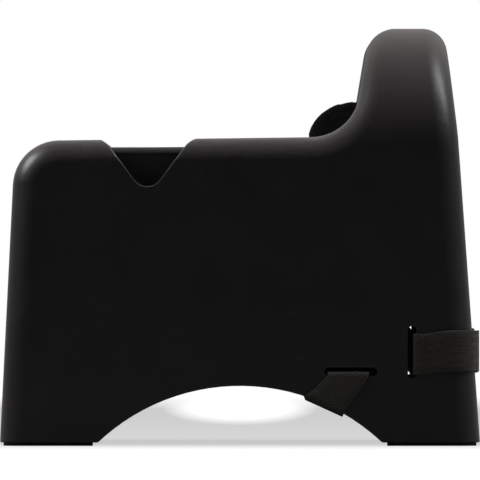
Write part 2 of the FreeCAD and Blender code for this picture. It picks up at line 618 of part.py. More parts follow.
def facets(ring, following):
    """Two plane triangles for each side of the strip between two rings of four corners."""
    faces = []
    for k in range(4):
        a, b, c, d = ring[k], ring[(k + 1) % 4], following[(k + 1) % 4], following[k]
        for corners in ((a, b, c), (a, c, d)):
            faces.append(Part.Face(Part.makePolygon(list(corners) + [corners[0]])))
    return faces


def strip(stations, thickness):
    """A closed strip through (middle, half width vector) stations."""
    rings = []
    count = len(stations)
    for i, (centre, half) in enumerate(stations):
        ahead = stations[min(i + 1, count - 1)][0] - stations[max(i - 1, 0)][0]
        normal = ahead.cross(half).normalize() * (thickness / 2)
        rings.append([centre - half - normal, centre + half - normal, centre + half + normal, centre - half + normal])
    faces = [Part.Face(Part.makePolygon(ring + ring[:1])) for ring in (rings[0], rings[-1])]
    for ring, following in zip(rings, rings[1:]):
        faces += facets(ring, following)
    shell = Part.Shell(faces)
    shell.sewShape()
    solid = Part.Solid(shell)
    if solid.Volume < 0:
        solid.reverse()
    return solid


def wall_side(doc, height):
    """The outer side wall's Y at a height."""
    lean = size(doc, "side_lean") / (size(doc, "total_height") + size(doc, "stock_spare"))
    return size(doc, "overall_width") / 2 - lean * (height + size(doc, "stock_spare"))


def wall_rear(doc, height):
    """The rear wall's X at a height below its bend."""
    lean = size(doc, "rear_lean_low") / (size(doc, "rear_bend_height") - size(doc, "pad_height"))
    return size(doc, "base_depth") / 2 - lean * (height - size(doc, "pad_height"))


def buckle_frame(doc, strap):
    x, y, z, through = BUCKLE_PLACES[strap]
    sheet_reader = doc.getObject(f"{strap}_buckle_socket")
    origin = FreeCAD.Vector(*(value_of(sheet_reader, e) for e in (x, y, z)))
    return origin, through


def socket_turn(doc):
    """Along and through the buckle: the webbing's turn round the socket's bar, cut end first."""
    bar = size(doc, "socket_mouth") - size(doc, "socket_length") - size(doc, "tail_length")
    slot = bar + size(doc, "bar_width") + size(doc, "bar_slot") / 2
    over = size(doc, "bar_thick") / 2 + size(doc, "web_thick") / 2 + size(doc, "fit_gap") + 0.1
    return [(slot, -0.9), (slot, 0.0), (slot - 1.0, over - 0.45), (slot - 2.9, over), (slot - 4.9, over),
            (slot - 7.4, over - 0.6), (slot - 12, 0.4), (slot - 20, 0.0)]


def plug_turn(doc):
    """Along and through the buckle: from the loaded run round the plug's bars to the tail's end."""
    block_end = size(doc, "socket_mouth") + size(doc, "part_gap") + size(doc, "plug_block")
    first = block_end + size(doc, "bar_width") * 0.8 + size(doc, "bar_slot") / 2
    second = first + size(doc, "bar_slot") + size(doc, "bar_width")
    thick = size(doc, "web_thick")
    over = size(doc, "bar_thick") / 2 + thick / 2 + size(doc, "fit_gap") + 0.1
    loaded = -(size(doc, "bar_thick") / 2 + size(doc, "fit_gap") * 2 + thick * 1.5)
    tail = loaded + thick + size(doc, "fit_gap")
    return [(size(doc, "tail_end") + 3, loaded), (second + 5, loaded), (first + 4, loaded), (first + 1.8, loaded + 0.2),
            (first + 0.3, -3.0), (first, 0.0), (first + 0.5, over - 0.6), (first + 2.1, over),
            (second - 2.1, over), (second - 0.4, over - 0.75), (second, 0.0), (second + 0.4, tail + 0.9),
            (second + 2.1, tail), (second + 6, tail), (size(doc, "tail_end"), tail)]


def turned_stations(doc, strap, turn, half):
    origin, through = buckle_frame(doc, strap)
    return [(origin + AXIS_Y * along + through * depth, half) for along, depth in turn]


def mirrored(stations):
    flip = FreeCAD.Vector
    return [(flip(c.x, -c.y, c.z), h) for c, h in reversed(stations)]


def waist_route(doc):
    """From behind the backrest's middle out of the left slot, down and on to the pan."""
    half = size(doc, "web_width") / 2
    slot_y = size(doc, "waist_slot_y")
    height = size(doc, "waist_slot_z")
    rise = height - 234.5
    pan = size(doc, "seat_height")
    lean = size(doc, "seat_back_lean") / (size(doc, "total_height") + size(doc, "stock_spare") - pan)
    face = size(doc, "seat_back") + lean * (height - pan)
    upright = FreeCAD.Vector(0, 0, -half)
    behind = face + 20
    route = [(FreeCAD.Vector(behind, y, height), upright) for y in (0, slot_y - 12)]
    for x, y in ((behind - 1.5, slot_y - 5), (behind - 5, slot_y - 1), (behind - 10, slot_y), (face - 1, slot_y)):
        route.append((FreeCAD.Vector(x, y, height), upright))
    turn_x, turn_z = face - 5.8, 226 + rise
    for angle, inner_x, inner_z in ((3, -0.5, -5.7), (20, -2, -6.5), (45, -3.5, -7.5), (70, -5, -9.5), (90, -6, -13)):
        bend = math.radians(angle)
        outer = FreeCAD.Vector(turn_x - 34.5 * math.sin(bend), slot_y, turn_z + 24.3 * math.cos(bend))
        inner = FreeCAD.Vector(turn_x + inner_x, slot_y, turn_z + inner_z)
        route.append(((outer + inner) / 2, (inner - outer) / 2))
    drop = FreeCAD.Vector(0.97 * half, 0, -0.242 * half)
    low_x = size(doc, "waist_buckle_x")
    origin, _ = buckle_frame(doc, "waist")
    lying = origin.z - value_of(doc.getObject("waist_buckle_socket"), LOADED_DROP)
    high_x = turn_x - 22
    top = turn_z - 21
    for share in (0.0, 0.37, 0.7):
        x = high_x + (low_x + 4 - high_x) * share
        z = top + (lying + 26 - top) * share
        route.append((FreeCAD.Vector(x, slot_y - share, z), drop))
    flat = FreeCAD.Vector(half, 0, 0)
    route.append((FreeCAD.Vector(low_x + 1.5, slot_y - 4, lying + 11.5), FreeCAD.Vector(half, 0, -0.1 * half)))
    route.append((FreeCAD.Vector(low_x + 0.2, slot_y - 10, lying + 2.3), flat))
    return route, flat


def chair_back_route(doc):
    """From inside the shell out of the left slot, round the rear corner and into the recess."""
    z = size(doc, "chair_web_z")
    half = FreeCAD.Vector(0, 0, size(doc, "web_width") / 2)
    low = z - size(doc, "web_width") / 2
    x = size(doc, "chair_slot_x") + size(doc, "web_thick")
    side, rear = wall_side(doc, low), wall_rear(doc, z)
    off = size(doc, "web_thick") / 2 + size(doc, "fit_gap") * 2
    sag, lift = size(doc, "chair_web_sag"), size(doc, "chair_web_lift")
    plan = [(x + 1, 0, -sag), (x - sag, side / 3, sag), (x, side - 12, -lift), (x, side - 3, -lift),
            (x + 0.6, side + 0.4, -lift), (x + 3, side + off, -lift), (x + 8, side + off, -lift)]
    corner_x, corner_y = rear - size(doc, "edge_round"), side - size(doc, "edge_round") - 0.6
    reach = size(doc, "edge_round") + size(doc, "web_thick") + size(doc, "fit_gap") * 5
    for angle in (90, 65, 40, 15):
        bend = math.radians(angle)
        plan.append((corner_x + reach * math.cos(bend), corner_y + reach * math.sin(bend), lift))
    stand = rear + size(doc, "chair_slack") - size(doc, "web_thick") / 2
    edge = size(doc, "recess_half_width")
    plan += [(stand - 0.2, corner_y - 9, lift), (stand, corner_y - 23, lift), (rear + off + 1.4, edge - 12, 0)]
    return [(FreeCAD.Vector(px, py, z + rise), half) for px, py, rise in plan], half


def under_seat_route(doc):
    """From inside the shell out of the left slot, down the wall and under the arch's edge to the middle."""
    half = size(doc, "web_width") / 2
    flat = FreeCAD.Vector(half, 0, 0)
    x, z = size(doc, "under_web_x"), size(doc, "under_web_z")
    lip = wall_side(doc, z)
    radius, top = size(doc, "side_arch_round"), size(doc, "side_arch_top")
    front = size(doc, "under_edge_front")
    rear = front + size(doc, "web_width")
    heights = [top - radius + math.sqrt(radius ** 2 - place ** 2) for place in (front, rear)]
    edge = FreeCAD.Vector(rear - front, 0, heights[1] - heights[0]).normalize()
    slanted = edge * half
    centre = FreeCAD.Vector((front + rear) / 2, 0, sum(heights) / 2)
    down = FreeCAD.Vector(edge.z, 0, -edge.x)
    foot = wall_side(doc, centre.z)
    thick = size(doc, "web_thick")
    route = [(FreeCAD.Vector(x, y, z + rise), flat) for y, rise in ((lip - 65, 0), (lip - 3, 0.1), (lip - 0.2, -0.2))]
    route.append((FreeCAD.Vector(x, lip + 1.3, z - 1.6), flat))
    route.append((FreeCAD.Vector(x - 0.8, lip + 1.5, z - 3.7), flat * 0.999 + FreeCAD.Vector(0, 0, -0.05 * half)))
    halfway = (FreeCAD.Vector(x - 0.8, 0, z - 3.7) + centre) / 2
    route.append((FreeCAD.Vector(halfway.x, lip + 1.9, halfway.z), (flat + slanted) / 2))
    for out, below in ((1.2, -3), (1.1, 0.5), (0.2, 1.4), (-1.6, 1.45)):
        point = centre + down * (below * thick / 1.6)
        route.append((FreeCAD.Vector(point.x, foot + out, point.z), slanted))
    route.append((FreeCAD.Vector(point.x, 0, point.z), slanted))
    return route, flat


def make_webbing(doc, strap, stations):
    node = doc.addObject("Part::Feature", f"{strap}_webbing")
    node.Label = f"{strap}_webbing"
    node.Shape = strip(stations, size(doc, "web_thick"))
    node.Placement = FreeCAD.Placement()
    return node


def make_webbings(doc):
    waist, across = waist_route(doc)
    chair, upright = chair_back_route(doc)
    under, flat = under_seat_route(doc)
    socket, plug = socket_turn(doc), plug_turn(doc)
    belts = [
        make_webbing(doc, "waist", turned_stations(doc, "waist", socket, across) + mirrored(waist)
                     + waist[1:] + turned_stations(doc, "waist", plug, across)),
        make_webbing(doc, "chair_back", turned_stations(doc, "chair_back", socket, upright) + mirrored(chair)
                     + chair[1:] + turned_stations(doc, "chair_back", plug, upright)),
    ]
    loop = [(FreeCAD.Vector(c.x, -c.y, c.z), h) for c, h in under] + list(reversed(under))[1:]
    belts.append(make_webbing(doc, "under_seat", turned_stations(doc, "under_seat", socket, flat) + loop
                              + turned_stations(doc, "under_seat", plug, flat)))
    return belts


def make_buckles(doc):
    parts = []
    for strap in BUCKLE_PLACES:
        parts += [make_socket(doc, strap), make_plug(doc, strap), make_keeper(doc, strap)]
        parts += [make_release_arm(doc, strap, hand, sign) for hand, sign in (("first", "-1"), ("second", "1"))]
    doc.recompute()
    return parts


def main():
    doc = FreeCAD.newDocument("booster_seat")
    make_sheet(doc)
    nodes = [make_shell(doc)] + make_pads(doc) + make_buckles(doc)
    nodes += make_webbings(doc)
    doc.recompute()
    for obj in doc.Objects:
        if "Invalid" in obj.State or "Error" in obj.State:
            raise RuntimeError(f"{obj.Label} failed: {obj.State}")
    os.makedirs("parts", exist_ok=True)
    for node in nodes:
        if node.Shape.isNull() or not node.Shape.isValid():
            raise RuntimeError(f"{node.Label} has no valid shape")
        node.Shape.exportStep(f"parts/{node.Label}.step")
        print(node.Label, len(node.Shape.Solids), round(node.Shape.Volume), node.Shape.BoundBox)


main()
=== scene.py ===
"""A child's booster seat: moulded shell, rubber foot pads, three webbing straps and their buckles."""
import math

import bmesh
import bpy
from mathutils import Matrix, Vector


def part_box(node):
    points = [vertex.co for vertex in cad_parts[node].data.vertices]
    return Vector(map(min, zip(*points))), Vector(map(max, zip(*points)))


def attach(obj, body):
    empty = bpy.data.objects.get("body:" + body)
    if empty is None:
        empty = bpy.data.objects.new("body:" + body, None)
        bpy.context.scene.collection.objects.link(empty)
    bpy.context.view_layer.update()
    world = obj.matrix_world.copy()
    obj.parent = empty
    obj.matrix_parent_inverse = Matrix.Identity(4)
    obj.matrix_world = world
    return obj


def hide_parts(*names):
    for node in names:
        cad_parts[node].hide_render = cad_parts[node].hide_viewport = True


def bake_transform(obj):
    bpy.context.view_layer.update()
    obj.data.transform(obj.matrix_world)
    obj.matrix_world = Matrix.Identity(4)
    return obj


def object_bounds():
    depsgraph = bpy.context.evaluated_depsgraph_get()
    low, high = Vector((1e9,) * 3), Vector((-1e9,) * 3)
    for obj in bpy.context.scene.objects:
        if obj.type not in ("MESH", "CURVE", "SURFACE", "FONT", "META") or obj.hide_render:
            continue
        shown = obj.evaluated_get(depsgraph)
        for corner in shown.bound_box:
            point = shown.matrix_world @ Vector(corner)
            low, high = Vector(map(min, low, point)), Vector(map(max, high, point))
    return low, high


bl_info = {
    "name": "Child booster seat",
    "version": (1, 0, 0),
    "blender": (4, 5, 0),
    "location": "View3D > Sidebar > Booster Seat",
    "description": "Finishes a moulded booster seat with webbing straps and side-release buckles",
    "category": "Add Mesh",
}

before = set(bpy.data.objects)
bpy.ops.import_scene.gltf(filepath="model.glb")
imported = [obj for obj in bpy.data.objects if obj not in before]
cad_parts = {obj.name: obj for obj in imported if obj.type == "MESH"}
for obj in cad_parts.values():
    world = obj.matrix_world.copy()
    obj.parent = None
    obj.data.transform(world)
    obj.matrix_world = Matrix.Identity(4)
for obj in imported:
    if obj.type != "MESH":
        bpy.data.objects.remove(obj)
CAD_BOX = [list(corner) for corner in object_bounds()]
STRAPS = ("waist", "chair_back", "under_seat")
MM = 0.001
MERGE = 0.001 * MM
SHARP = math.radians(34)
GRIP_MIDDLE, GRIP_OPENING = -67.2 * MM, 54 * MM  # along X, where the wall behind a hand grip shows
GRIP_BACK, GRIP_CREST = 129.5 * MM, 217.6 * MM  # that wall's outer face from the middle, and its crest
MOTTLE_SCALE = 24.0
FIBRE_SCALE = 5200.0
TREAD_PITCH = 3.2 * MM
ROD_FLARE = ((2 * MM, 1.12), (2 * MM, 1.25), (3 * MM, 1.6), (4 * MM, 1.8))  # reach and growth of each step


# ---- settings that a user would change ----

class MouldingSettings(bpy.types.PropertyGroup):
    colour: bpy.props.FloatVectorProperty(
        name="Plastic colour", description="Base colour of the moulded shell",
        subtype="COLOR", size=3, min=0, max=1, default=(0.0048, 0.0034, 0.0037))
    roughness: bpy.props.FloatProperty(
        name="Roughness", description="How far the satin texture spreads a reflection",
        subtype="FACTOR", min=0, max=1, default=0.42)
    grain_pitch: bpy.props.FloatProperty(
        name="Grain pitch", description="Size of the texture left by the mould",
        unit="LENGTH", default=0.7 * MM)
    edge_round: bpy.props.FloatProperty(
        name="Edge round", description="Radius of the shell's trimmed edges",
        unit="LENGTH", default=1.1 * MM)
    crest_round: bpy.props.FloatProperty(
        name="Crest round", description="Radius of the crest behind each hand grip",
        unit="LENGTH", default=6.0 * MM)


class WebbingSettings(bpy.types.PropertyGroup):
    strap_colour: bpy.props.FloatVectorProperty(
        name="Strap colour", description="Yarn colour of the two chair straps",
        subtype="COLOR", size=3, min=0, max=1, default=(0.0150, 0.0140, 0.0118))
    # Painted shade: the belt yarn is near black, far darker than the chair straps. This is partly the belt's
    # own dark yarn and partly painted shade for the deep shade the belt loop sits in.
    belt_colour_with_painted_shade: bpy.props.FloatVectorProperty(
        name="Belt colour", description="Yarn colour of the child's waist belt",
        subtype="COLOR", size=3, min=0, max=1, default=(0.0022, 0.0022, 0.0024))
    sheen: bpy.props.FloatProperty(
        name="Sheen", description="Soft light caught by the fibres of the chair straps",
        subtype="FACTOR", min=0, max=1, default=0.09)
    thickness: bpy.props.FloatProperty(
        name="Thickness", description="Thickness of the webbing", unit="LENGTH", default=1.5 * MM)
    rib_pitch: bpy.props.FloatProperty(
        name="Rib pitch", description="Spacing of the slanted yarns along the webbing",
        unit="LENGTH", default=1.3 * MM)
    column_width: bpy.props.FloatProperty(
        name="Column width", description="Width of each chevron column of the weave",
        unit="LENGTH", default=3.0 * MM)
    row_spacing: bpy.props.FloatProperty(
        name="Row spacing", description="Spacing of the mesh rows along the webbing",
        unit="LENGTH", default=1.6 * MM)


class FittingSettings(bpy.types.PropertyGroup):
    buckle_colour: bpy.props.FloatVectorProperty(
        name="Buckle colour", description="Base colour of the buckles",
        subtype="COLOR", size=3, min=0, max=1, default=(0.010, 0.010, 0.0105))
    buckle_edge: bpy.props.FloatProperty(
        name="Buckle edge round", description="Radius of the buckles' edges",
        unit="LENGTH", default=0.45 * MM)
    rubber_colour: bpy.props.FloatVectorProperty(
        name="Rubber colour", description="Base colour of the foot pads",
        subtype="COLOR", size=3, min=0, max=1, default=(0.012, 0.012, 0.012))


class StudioSettings(bpy.types.PropertyGroup):
    camera_distance: bpy.props.FloatProperty(
        name="Camera distance", description="Camera from the middle of the seat", unit="LENGTH", default=12.0)
    view_width: bpy.props.FloatProperty(
        name="View width", description="Width that fills the frame at the seat's near side",
        unit="LENGTH", default=348.4 * MM)
    eye_height: bpy.props.FloatProperty(
        name="Eye height", description="Height of the camera above the floor",
        unit="LENGTH", default=149.5 * MM)
    floor_size: bpy.props.FloatProperty(
        name="Floor size", description="Side of the floor", unit="LENGTH", default=8.0)


# ---- selection and modifiers ----

def deselect():
    bpy.ops.object.select_all(action="DESELECT")


def pick(piece):
    """Selects one piece alone and makes it active."""
    deselect()
    piece.select_set(True)
    bpy.context.view_layer.objects.active = piece


def apply_modifier(piece, kind, **settings):
    """Adds a modifier with its settings and applies it."""
    pick(piece)
    modifier = piece.modifiers.new(kind.lower(), kind)
    for name, value in settings.items():
        setattr(modifier, name, value)
    bpy.ops.object.modifier_apply(modifier=modifier.name)


def merged_copy(node, name):
    """A copy of a CAD node with its loose triangles merged, which stands for the node."""
    piece = bpy.data.objects.new(name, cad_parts[node].data.copy())
    bpy.context.scene.collection.objects.link(piece)
    piece.data.materials.clear()
    pick(piece)
    bpy.ops.mesh.customdata_custom_splitnormals_clear()
    bpy.ops.object.mode_set(mode="EDIT")
    bpy.ops.mesh.select_all(action="SELECT")
    bpy.ops.mesh.remove_doubles(threshold=MERGE)
    bpy.ops.object.mode_set(mode="OBJECT")
    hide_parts(node)
    return piece


def round_edges(piece, radius):
    """Rounds a piece's sharp edges and shades the rest smooth."""
    pick(piece)
    bpy.ops.object.mode_set(mode="EDIT")
    bpy.ops.mesh.select_all(action="SELECT")
    bpy.ops.mesh.dissolve_limited(angle_limit=math.radians(0.2))
    bpy.ops.object.mode_set(mode="OBJECT")
    apply_modifier(piece, "BEVEL", width=radius, segments=2, limit_method="ANGLE", angle_limit=SHARP,
                   use_clamp_overlap=False, miter_outer="MITER_SHARP")
    bpy.ops.object.shade_smooth_by_angle(angle=math.radians(38))
    apply_modifier(piece, "WEIGHTED_NORMAL", mode="FACE_AREA", weight=80, keep_sharp=True)


def grip_rod(centre, radius, length):
    """A rod along X with flared ends, as long and round as the crest that it leaves in a cutter."""
    deselect()
    bpy.ops.mesh.primitive_cylinder_add(vertices=64, radius=radius, depth=length, location=centre,
                                        rotation=(0, math.radians(90), 0))
    rod = bpy.context.object
    bpy.ops.object.transform_apply(location=True, rotation=True, scale=True)
    for end in (-1, 1):
        bpy.ops.object.mode_set(mode="EDIT")
        bpy.ops.mesh.select_mode(type="FACE")
        bpy.ops.mesh.select_all(action="DESELECT")
        bpy.ops.object.mode_set(mode="OBJECT")
        for face in rod.data.polygons:
            face.select = face.normal.x * end > 0.9
        bpy.ops.object.mode_set(mode="EDIT")
        for reach, grow in ROD_FLARE:
            bpy.ops.mesh.extrude_region_move(TRANSFORM_OT_translate={"value": (end * reach, 0, 0)})
            bpy.ops.transform.resize(value=(1, grow, grow))
        bpy.ops.object.mode_set(mode="OBJECT")
    return rod


def crest_cutter(side, radius):
    """A cutter that leaves a rounded crest on the wall behind one hand grip."""
    low, high = GRIP_CREST - radius, GRIP_CREST + 10 * MM
    inner, outer = GRIP_BACK - 12 * MM, GRIP_BACK + 0.4 * MM
    rod = grip_rod((GRIP_MIDDLE, side * (GRIP_BACK - radius), low), radius, GRIP_OPENING)
    deselect()
    centre = (GRIP_MIDDLE, side * (inner + outer) / 2, (low + high) / 2)
    bpy.ops.mesh.primitive_cube_add(size=1, location=centre)
    cutter = bpy.context.object
    flare = sum(reach for reach, _ in ROD_FLARE)
    cutter.scale = (GRIP_OPENING + 2 * flare - 2 * MM, outer - inner, high - low)
    bpy.ops.object.transform_apply(location=True, rotation=True, scale=True)
    apply_modifier(cutter, "BOOLEAN", object=rod, operation="DIFFERENCE", solver="EXACT")
    bpy.data.objects.remove(rod)
    return cutter


# ---- shader node groups ----

class NodeSheet:
    """A short way to add and wire the nodes of one tree."""

    def __init__(self, tree):
        self.tree = tree

    def add(self, kind, settings=None, **sockets):
        node = self.tree.nodes.new(kind)
        for name, value in (settings or {}).items():
            setattr(node, name, value)
        for name, value in sockets.items():
            self.feed(value, node.inputs[name.replace("_", " ")])
        return node

    def feed(self, value, socket):
        if isinstance(value, bpy.types.NodeSocket):
            self.tree.links.new(value, socket)
        else:
            socket.default_value = value

    def math(self, operation, *values):
        node = self.tree.nodes.new("ShaderNodeMath")
        node.operation = operation
        for value, socket in zip(values, node.inputs):
            self.feed(value, socket)
        return node.outputs[0]

    def ramp(self, value, low, high, low_out=0.0, high_out=1.0):
        node = self.add("ShaderNodeMapRange", None, From_Min=low, From_Max=high,
                        To_Min=low_out, To_Max=high_out)
        self.feed(value, node.inputs["Value"])
        return node.outputs["Result"]


def new_group(name, inputs, outputs):
    """A shader node group with named float inputs (Vector is a vector) and float outputs."""
    group = bpy.data.node_groups.new(name, "ShaderNodeTree")
    for label, default in inputs:
        kind = "NodeSocketVector" if label == "Vector" else "NodeSocketFloat"
        socket = group.interface.new_socket(label, in_out="INPUT", socket_type=kind)
        if default is not None:
            socket.default_value = default
    for label in outputs:
        group.interface.new_socket(label, in_out="OUTPUT", socket_type="NodeSocketFloat")
    sheet = NodeSheet(group)
    return group, sheet, sheet.add("NodeGroupInput").outputs, sheet.add("NodeGroupOutput").inputs


def moulded_grain():
    """Fine spark-eroded texture of a mould, and the slow mottling of a large moulding."""
    name = "moulded_grain"
    if name in bpy.data.node_groups:
        return bpy.data.node_groups[name]
    group, sheet, given, put = new_group(name, (("Vector", None), ("Pitch", 0.001)), ("Height", "Mottle"))
    scale = sheet.math("DIVIDE", 1.0, given["Pitch"])
    fine = sheet.add("ShaderNodeTexNoise", None, Vector=given["Vector"], Scale=scale, Detail=3.0,
                     Roughness=0.65)
    pits = sheet.add("ShaderNodeTexVoronoi", None, Vector=given["Vector"],
                     Scale=sheet.math("MULTIPLY", scale, 0.8))
    depth = sheet.math("MULTIPLY", sheet.ramp(pits.outputs["Distance"], 0.0, 0.7), 0.45)
    sheet.feed(sheet.math("ADD", sheet.math("MULTIPLY", fine.outputs["Fac"], 0.55), depth), put["Height"])
    slow = sheet.add("ShaderNodeTexNoise", None, Vector=given["Vector"], Scale=MOTTLE_SCALE, Detail=4.0,
                     Roughness=0.6)
    sheet.feed(sheet.ramp(slow.outputs["Fac"], 0.3, 0.7), put["Mottle"])
    return group


def handling_scuffs():
    """A mask of fine, short scratches in patches, as handling and stacking leave."""
    name = "handling_scuffs"
    if name in bpy.data.node_groups:
        return bpy.data.node_groups[name]
    group, sheet, given, put = new_group(name, (("Vector", None), ("Size", 0.01)), ("Scratches", "Dust"))
    across = sheet.math("DIVIDE", 1.0, given["Size"])
    turned = sheet.add("ShaderNodeMapping", None, Vector=given["Vector"], Rotation=(0.4, 0.9, 0.3),
                       Scale=(1.0, 14.0, 9.0))
    lines = sheet.add("ShaderNodeTexNoise", None, Vector=turned.outputs[0], Scale=across, Detail=2.0)
    thin = sheet.ramp(lines.outputs["Fac"], 0.68, 0.74)
    patches = sheet.add("ShaderNodeTexNoise", None, Vector=given["Vector"],
                        Scale=sheet.math("MULTIPLY", across, 0.22), Detail=3.0)
    sheet.feed(sheet.math("MULTIPLY", thin, sheet.ramp(patches.outputs["Fac"], 0.52, 0.66)), put["Scratches"])
    specks = sheet.add("ShaderNodeTexNoise", None, Vector=given["Vector"],
                       Scale=sheet.math("MULTIPLY", across, 9.0), Detail=1.0)
    sheet.feed(sheet.ramp(specks.outputs["Fac"], 0.70, 0.78), put["Dust"])
    return group


def chevron_weave():
    """Chevron columns of slanted yarns, from a UV in metres: U across the webbing and V along it."""
    name = "chevron_weave"
    if name in bpy.data.node_groups:
        return bpy.data.node_groups[name]
    group, sheet, given, put = new_group(
        name, (("Vector", None), ("Column", 0.003), ("Pitch", 0.0013)), ("Height", "Painted_shade"))
    split = sheet.add("ShaderNodeSeparateXYZ", None, Vector=given["Vector"])
    across = sheet.math("DIVIDE", split.outputs["X"], given["Column"])
    zigzag = sheet.math("PINGPONG", across, 1.0)
    along = sheet.math("DIVIDE", split.outputs["Y"], given["Pitch"])
    slant = 1.15
    slanted = sheet.math("ADD", along, sheet.math("MULTIPLY", zigzag, slant))
    yarn = sheet.math("SINE", sheet.math("MULTIPLY", slanted, 2 * math.pi))
    rounded = sheet.math("POWER", sheet.ramp(yarn, -1.0, 1.0), 0.6)
    border = sheet.math("ABSOLUTE", sheet.math("SUBTRACT", sheet.math("FRACT", across), 0.5))
    column = sheet.ramp(border, 0.36, 0.5, 1.0, 0.35)
    fibres = sheet.add("ShaderNodeTexNoise", None, Vector=given["Vector"], Scale=FIBRE_SCALE, Detail=1.0)
    fuzz = sheet.ramp(fibres.outputs["Fac"], 0.2, 0.8, 0.86, 1.0)
    height = sheet.math("MULTIPLY", sheet.math("MULTIPLY", rounded, column), fuzz)
    sheet.feed(height, put["Height"])
    # Painted shade: a mask that is 1 where the yarns sink low, which darkens the weave's hollows.
    sheet.feed(sheet.ramp(height, 0.05, 0.45, 1.0, 0.0), put["Painted_shade"])
    return group


# ---- materials ----

def new_material(name):
    """An empty material with its principled shader, and the sheet to draw its nodes on."""
    material = bpy.data.materials.new(name)
    material.use_nodes = True
    tree = material.node_tree
    tree.nodes.clear()
    sheet = NodeSheet(tree)
    output = sheet.add("ShaderNodeOutputMaterial")
    shader = sheet.add("ShaderNodeBsdfPrincipled")
    tree.links.new(shader.outputs["BSDF"], output.inputs["Surface"])
    return material, sheet, shader


def place_group(sheet, group, **sockets):
    """The outputs of a node group, placed in a tree with its inputs fed."""
    node = sheet.add("ShaderNodeGroup", {"node_tree": group})
    for name, value in sockets.items():
        sheet.feed(value, node.inputs[name])
    return node.outputs


def blended(sheet, mask, base, over):
    """A colour that goes from base to over with a mask."""
    mix = sheet.add("ShaderNodeMix", {"data_type": "RGBA"})
    sheet.feed(mask, mix.inputs["Factor"])
    colours = [socket for socket in mix.inputs if socket.type == "RGBA"]
    for socket, colour in zip(colours, (base, over)):
        socket.default_value = (*colour, 1.0)
    return next(socket for socket in mix.outputs if socket.type == "RGBA")


def add_bump(sheet, shader, height, depth, strength=1.0):
    bump = sheet.add("ShaderNodeBump", None, Strength=strength, Distance=depth, Height=height)
    sheet.feed(bump.outputs["Normal"], shader.inputs["Normal"])


def lighter(colour, factor, lift=0.0):
    """A colour multiplied by a factor and then raised by a lift."""
    return tuple(channel * factor + lift for channel in colour)


def moulded_plastic(name, colour, roughness, pitch, depth, scuff_size):
    """Satin plastic with its mould texture, faint mottling and a few handling marks."""
    material, sheet, shader = new_material(name)
    place = sheet.add("ShaderNodeTexCoord").outputs["Object"]
    roughness_swing, wear_roughness = 0.035, 0.12
    grain = place_group(sheet, moulded_grain(), Vector=place, Pitch=pitch)
    marks = place_group(sheet, handling_scuffs(), Vector=place, Size=scuff_size)
    wear = sheet.math("MAXIMUM", sheet.math("MULTIPLY", marks["Scratches"], 0.5),
                      sheet.math("MULTIPLY", marks["Dust"], 0.25))
    sheet.feed(blended(sheet, wear, colour, lighter(colour, 3.0, 0.012)), shader.inputs["Base Color"])
    rough = sheet.ramp(grain["Mottle"], 0.0, 1.0, roughness - roughness_swing, roughness + roughness_swing)
    worn = sheet.math("ADD", rough, sheet.math("MULTIPLY", wear, wear_roughness))
    sheet.feed(worn, shader.inputs["Roughness"])
    add_bump(sheet, shader, grain["Height"], depth)
    return material


def woven_webbing(name, colour, sheen, settings):
    """Webbing whose yarns stand up in chevrons, with painted shade in the hollows between them, and a soft
    sheen.
    """
    material, sheet, shader = new_material(name)
    flat = sheet.add("ShaderNodeUVMap", {"uv_map": "weave"}).outputs["UV"]
    weave = place_group(sheet, chevron_weave(), Vector=flat, Column=settings.column_width,
                        Pitch=settings.rib_pitch)
    # Painted shade: the weave's hollows take 0.35 of the yarn colour and the raised yarns 1.25 of it.
    sheet.feed(blended(sheet, weave["Painted_shade"], lighter(colour, 1.25), lighter(colour, 0.35)),
               shader.inputs["Base Color"])
    sheet.feed(sheet.ramp(weave["Painted_shade"], 0.0, 1.0, 0.62, 0.85), shader.inputs["Roughness"])
    shader.inputs["Sheen Weight"].default_value = sheen
    shader.inputs["Specular IOR Level"].default_value = 0.3
    shader.inputs["Sheen Roughness"].default_value = 0.45
    add_bump(sheet, shader, weave["Height"], 0.35 * MM, 0.9)
    return material


def pad_rubber(name, colour):
    """Matte rubber with a fine square tread, whose grooves are darkened as painted shade."""
    material, sheet, shader = new_material(name)
    place = sheet.add("ShaderNodeTexCoord").outputs["Object"]
    split = sheet.add("ShaderNodeSeparateXYZ", None, Vector=place)
    tread = []
    for side in ("X", "Y"):
        wave = sheet.math("SINE", sheet.math("MULTIPLY", split.outputs[side], 2 * math.pi / TREAD_PITCH))
        tread.append(sheet.ramp(wave, -0.6, 0.2))
    blocks = sheet.math("MULTIPLY", *tread)
    grain = place_group(sheet, moulded_grain(), Vector=place, Pitch=0.5 * MM)
    # Painted shade: the grooves between the tread blocks take 0.6 of the rubber colour and the blocks 1.2 of
    # it.
    groove_shaded_tread = blended(sheet, blocks, lighter(colour, 0.6), lighter(colour, 1.2))
    sheet.feed(groove_shaded_tread, shader.inputs["Base Color"])
    sheet.feed(sheet.ramp(grain["Mottle"], 0.0, 1.0, 0.74, 0.86), shader.inputs["Roughness"])
    height = sheet.math("ADD", blocks, sheet.math("MULTIPLY", grain["Height"], 0.12))
    add_bump(sheet, shader, height, 0.4 * MM)
    return material


# ---- webbing read from its CAD strip ----

def cut_end(mesh):
    """The four corners of a strap's cut end, the only flat face whose four sides all turn square."""
    flat, square = math.radians(0.6), math.radians(69)
    for edge in mesh.edges:
        if edge.calc_face_angle(1.0) > flat:
            continue
        sides = [side for face in edge.link_faces for side in face.edges if side is not edge]
        if min(side.calc_face_angle(0.0) for side in sides) > square:
            return {corner for face in edge.link_faces for corner in face.verts}
    raise RuntimeError("a strap has no cut end")


